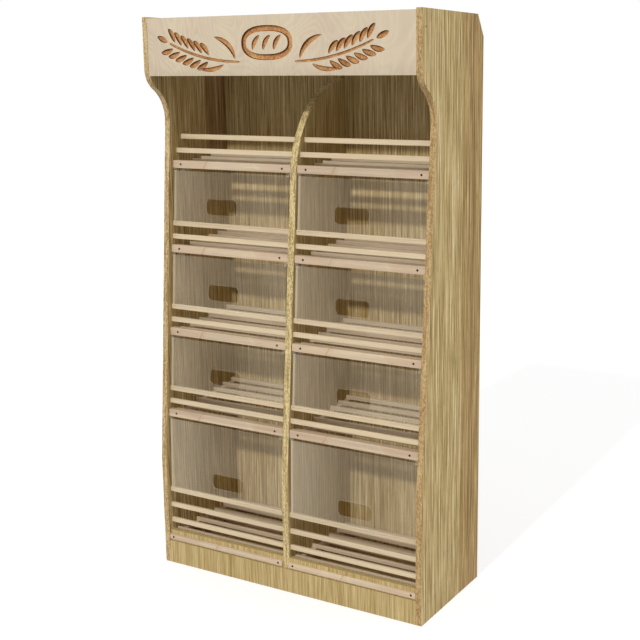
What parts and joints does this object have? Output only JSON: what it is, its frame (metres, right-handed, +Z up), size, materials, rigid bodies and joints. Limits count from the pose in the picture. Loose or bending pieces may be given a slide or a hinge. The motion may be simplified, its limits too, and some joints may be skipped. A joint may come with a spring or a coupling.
{
  "type": "bakery bread rack",
  "caption": "Free-standing wooden bread rack: side-by-side bays of sloping slatted trays with guard bars and hinged clear flaps, below an open top tray and a fascia board.",
  "frame": {"origin": "on the floor under the middle of the rack's footprint", "axes": "+Z up, +X across the rack to the right of someone facing it, +Y from the front towards the wall behind"},
  "size_m": [1.095, 0.435, 2],
  "materials": {
    "birch_ply": "birch plywood, satin lacquer",
    "clear_acrylic": "clear polished acrylic sheet",
    "clip_plastic": "translucent moulded plastic",
    "light_wood": "planed light softwood, satin lacquer",
    "oak_board": "oak-decor laminated board, satin, upright grain"
  },
  "bodies": {
    "root": {"apron_left": "oak_board", "apron_right": "oak_board", "back_panel_left": "oak_board", "back_panel_right": "oak_board", "base_board_left": "oak_board", "base_board_right": "oak_board", "bottom_slats_left": "light_wood", "bottom_slats_right": "light_wood", "centre_divider": "oak_board", "corner_blocks_1": "light_wood", "corner_blocks_2": "light_wood", "corner_blocks_3": "light_wood", "corner_blocks_4": "light_wood", "edge_lath_left": "light_wood", "edge_lath_right": "light_wood", "fascia_board": "birch_ply", "guard_bars_1": "light_wood", "guard_bars_2": "light_wood", "guard_bars_3": "light_wood", "guard_bars_4": "light_wood", "guard_bars_5": "light_wood", "plinth_left": "oak_board", "plinth_right": "oak_board", "shelf_cleats": "light_wood", "side_panel_left": "oak_board", "side_panel_right": "oak_board", "top_board": "oak_board", "tray_rail_1_left": "light_wood", "tray_rail_1_right": "light_wood", "tray_rail_2_left": "light_wood", "tray_rail_2_right": "light_wood", "tray_rail_3_left": "light_wood", "tray_rail_3_right": "light_wood", "tray_rail_4_left": "light_wood", "tray_rail_4_right": "light_wood", "tray_slats_1_left": "light_wood", "tray_slats_1_right": "light_wood", "tray_slats_2_left": "light_wood", "tray_slats_2_right": "light_wood", "tray_slats_3_left": "light_wood", "tray_slats_3_right": "light_wood", "tray_slats_4_left": "light_wood", "tray_slats_4_right": "light_wood"},
    "flap_2_left_body": {"flap_2_left": "clear_acrylic", "flap_clips_2_left": "clip_plastic"},
    "flap_2_right_body": {"flap_2_right": "clear_acrylic", "flap_clips_2_right": "clip_plastic"},
    "flap_3_left_body": {"flap_3_left": "clear_acrylic", "flap_clips_3_left": "clip_plastic"},
    "flap_3_right_body": {"flap_3_right": "clear_acrylic", "flap_clips_3_right": "clip_plastic"},
    "flap_4_left_body": {"flap_4_left": "clear_acrylic", "flap_clips_4_left": "clip_plastic"},
    "flap_4_right_body": {"flap_4_right": "clear_acrylic", "flap_clips_4_right": "clip_plastic"},
    "flap_5_left_body": {"flap_5_left": "clear_acrylic", "flap_clips_5_left": "clip_plastic"},
    "flap_5_right_body": {"flap_5_right": "clear_acrylic", "flap_clips_5_right": "clip_plastic"}
  },
  "joints": [
    {"name": "flap_2_left_hinge", "type": "hinge", "parent": "root", "child": "flap_2_left_body", "pos_m": [-0.269, -0.11302, 1.4722], "axis": [-1, 0, 0], "range_deg": [0, 85]},
    {"name": "flap_2_right_hinge", "type": "hinge", "parent": "root", "child": "flap_2_right_body", "pos_m": [0.269, -0.11302, 1.4722], "axis": [-1, 0, 0], "range_deg": [0, 85]},
    {"name": "flap_3_left_hinge", "type": "hinge", "parent": "root", "child": "flap_3_left_body", "pos_m": [-0.269, -0.13956, 1.1688], "axis": [-1, 0, 0], "range_deg": [0, 85]},
    {"name": "flap_3_right_hinge", "type": "hinge", "parent": "root", "child": "flap_3_right_body", "pos_m": [0.269, -0.13956, 1.1688], "axis": [-1, 0, 0], "range_deg": [0, 85]},
    {"name": "flap_4_left_hinge", "type": "hinge", "parent": "root", "child": "flap_4_left_body", "pos_m": [-0.269, -0.16611, 0.8654], "axis": [-1, 0, 0], "range_deg": [0, 85]},
    {"name": "flap_4_right_hinge", "type": "hinge", "parent": "root", "child": "flap_4_right_body", "pos_m": [0.269, -0.16611, 0.8654], "axis": [-1, 0, 0], "range_deg": [0, 85]},
    {"name": "flap_5_left_hinge", "type": "hinge", "parent": "root", "child": "flap_5_left_body", "pos_m": [-0.269, -0.19265, 0.562], "axis": [-1, 0, 0], "range_deg": [0, 85]},
    {"name": "flap_5_right_hinge", "type": "hinge", "parent": "root", "child": "flap_5_right_body", "pos_m": [0.269, -0.19265, 0.562], "axis": [-1, 0, 0], "range_deg": [0, 85]}
  ]
}
